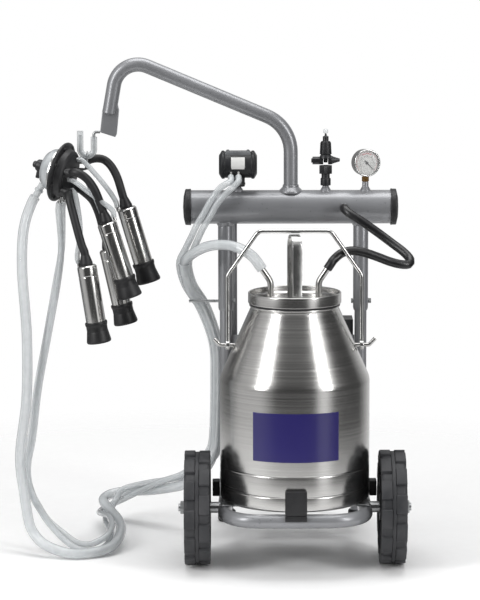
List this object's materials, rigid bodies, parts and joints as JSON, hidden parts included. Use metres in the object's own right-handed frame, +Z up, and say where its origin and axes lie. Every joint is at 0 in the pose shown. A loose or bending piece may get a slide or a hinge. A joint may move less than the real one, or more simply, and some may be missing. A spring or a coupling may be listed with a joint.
{
  "type": "milking machine",
  "caption": "Trolley milking machine: steel can on a two-wheeled tube frame with a vacuum tank, a pump set and a hanging cluster of teat cups on clear hoses.",
  "frame": {"origin": "on the floor under the middle of the bounding box, measured without the hoses", "axes": "+Z up, -Y to the front where the can stands, +X to the right seen from the front"},
  "size_m": [0.8086, 0.5662, 1.0045],
  "materials": {
    "grey_paint": "semi-gloss grey paint",
    "zinc": "zinc plated, slightly dull",
    "bright_steel": "polished stainless steel",
    "black_rubber": "satin black rubber",
    "wheel_plastic": "matt dark grey plastic",
    "black_plastic": "satin black plastic",
    "clear_plastic": "clear flexible plastic",
    "motor_paint": "dark grey enamel"
  },
  "bodies": {
    "trolley": {"base_frame": "grey_paint", "motor_platform": "grey_paint", "upright_lower_left": "grey_paint", "upright_lower_right": "grey_paint", "upright_upper_left": "grey_paint", "upright_upper_right": "grey_paint", "cross_plate": "grey_paint", "vacuum_tank": "grey_paint", "mast": "grey_paint", "suction_pipe": "grey_paint", "can_seat": "zinc", "axle_left": "zinc", "axle_right": "zinc", "hose_peg": "zinc", "lock_bolt": "zinc", "cluster_hook": "zinc", "pulsator_cover": "zinc", "can_body": "bright_steel", "gauge_case": "bright_steel", "foot_left": "black_rubber", "foot_right": "black_rubber", "can_stop_front": "black_rubber", "can_stop_left": "black_rubber", "can_stop_right": "black_rubber", "tank_cap_left": "black_rubber", "tank_cap_right": "black_rubber", "vacuum_hose": "black_rubber", "pulsator_body": "black_plastic", "regulator_body": "black_plastic", "switch_box": "black_plastic", "hook_sleeve": "clear_plastic", "milk_hose_lid": "clear_plastic", "milk_hose_claw": "clear_plastic", "pulse_hose_front": "clear_plastic", "pulse_hose_rear": "clear_plastic", "motor_body": "motor_paint", "pump_body": "motor_paint"},
    "left_wheel": {"wheel_left": "wheel_plastic"},
    "right_wheel": {"wheel_right": "wheel_plastic"},
    "bail": {"bail_handle": "bright_steel"},
    "valve": {"claw_valve": "black_plastic"},
    "adjuster": {"regulator_adjuster": "black_plastic"},
    "needle": {"gauge_needle": "black_plastic"},
    "rocker": {"switch_rocker": "black_plastic"},
    "drive": {"drive_shaft": "zinc"},
    "lid_set": {"lid": "bright_steel", "lid_gasket": "black_rubber", "lid_handle": "bright_steel"},
    "cluster": {"claw_manifold": "black_rubber", "claw_bowl": "clear_plastic", "hanger_ring": "zinc", "teat_shell_a": "bright_steel", "teat_liner_a": "black_rubber", "teat_shell_b": "bright_steel", "teat_liner_b": "black_rubber", "teat_shell_c": "bright_steel", "teat_liner_c": "black_rubber", "teat_shell_d": "bright_steel", "teat_liner_d": "black_rubber"}
  },
  "joints": [
    {"name": "left_wheel_spin", "type": "hinge", "parent": "trolley", "child": "left_wheel", "pos_m": [-0.0454, -0.1399, 0.115], "axis": [1, 0, 0], "continuous": true},
    {"name": "right_wheel_spin", "type": "hinge", "parent": "trolley", "child": "right_wheel", "pos_m": [0.3456, -0.1399, 0.115], "axis": [1, 0, 0], "continuous": true},
    {"name": "bail_swing", "type": "hinge", "parent": "trolley", "child": "bail", "pos_m": [0.1501, -0.1189, 0.4421], "axis": [1, 0, 0], "range_deg": [0, 120]},
    {"name": "lid_turn", "type": "hinge", "parent": "trolley", "child": "lid_set", "pos_m": [0.1501, -0.1189, 0.528], "axis": [0, 0, 1], "range_deg": [-15, 15], "deforming": ["vacuum_hose", "milk_hose_lid"]},
    {"name": "cluster_swing", "type": "hinge", "parent": "trolley", "child": "cluster", "pos_m": [-0.2709, 0.0611, 0.8045], "axis": [0, 1, 0], "range_deg": [-8, 0], "deforming": ["milk_hose_claw", "pulse_hose_front", "pulse_hose_rear"]},
    {"name": "valve_pull", "type": "slide", "parent": "cluster", "child": "valve", "axis": [-0.9174, 0.3159, 0.2419], "range_m": [0, 0.006]},
    {"name": "regulator_turn", "type": "hinge", "parent": "trolley", "child": "adjuster", "pos_m": [0.2166, 0.0611, 0.82], "axis": [0, 0, 1], "range_deg": [-180, 180]},
    {"name": "gauge_sweep", "type": "hinge", "parent": "trolley", "child": "needle", "pos_m": [0.2981, 0.0611, 0.79], "axis": [0.2924, -0.9563, 0], "range_deg": [0, 270]},
    {"name": "rocker_tilt", "type": "hinge", "parent": "trolley", "child": "rocker", "pos_m": [0.2351, 0.0914, 0.463], "axis": [0, 1, 0], "range_deg": [0, 15]},
    {"name": "drive_spin", "type": "hinge", "parent": "trolley", "child": "drive", "pos_m": [0.1501, 0.1711, 0.2063], "axis": [1, 0, 0], "continuous": true}
  ]
}
